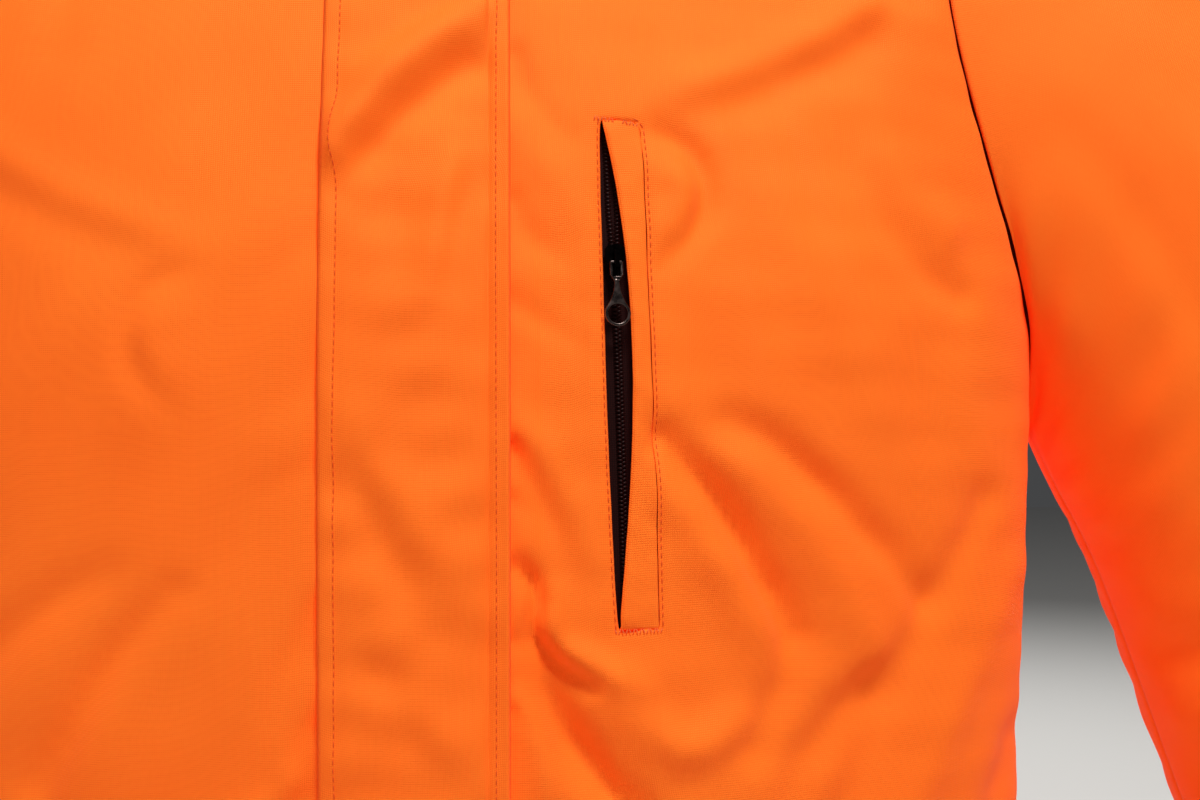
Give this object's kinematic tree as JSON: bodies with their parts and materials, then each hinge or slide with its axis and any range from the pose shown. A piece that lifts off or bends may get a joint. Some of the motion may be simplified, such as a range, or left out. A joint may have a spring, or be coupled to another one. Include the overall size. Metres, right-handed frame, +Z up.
{
  "type": "hi-vis work jacket",
  "caption": "Orange zip-front work jacket with storm flap, stand collar and a vertical zipped chest pocket, filled out as worn and held up at its shoulders.",
  "frame": {"origin": "midway between the shoulders at the height of the side of the neck, where the wearer carries the jacket", "axes": "+Z up, -Y out of the jacket's front, +X to the wearer's left"},
  "size_m": [1, 0.2803, 0.8307],
  "materials": {
    "oxford_cloth": "coated oxford weave, fluorescent orange",
    "zip_nylon": "woven tape and nylon coil, black",
    "slider_zinc": "gunmetal plating"
  },
  "bodies": {
    "jacket": {"front_left": "oxford_cloth", "front_right": "oxford_cloth", "back": "oxford_cloth", "sleeve_left": "oxford_cloth", "sleeve_right": "oxford_cloth", "collar": "oxford_cloth", "storm_flap": "oxford_cloth", "pocket_welt": "oxford_cloth", "front_zip": "zip_nylon", "front_zip_slider": "slider_zinc", "pocket_zip": "zip_nylon", "pocket_zip_slider": "slider_zinc"},
    "pull": {"pocket_zip_pull": "slider_zinc"}
  },
  "joints": [
    {"name": "pull_swing", "type": "hinge", "parent": "jacket", "child": "pull", "pos_m": [0.0682, -0.133, -0.2412], "axis": [-0.9885, -0.1512, 0], "range_deg": [0, 150]}
  ]
}
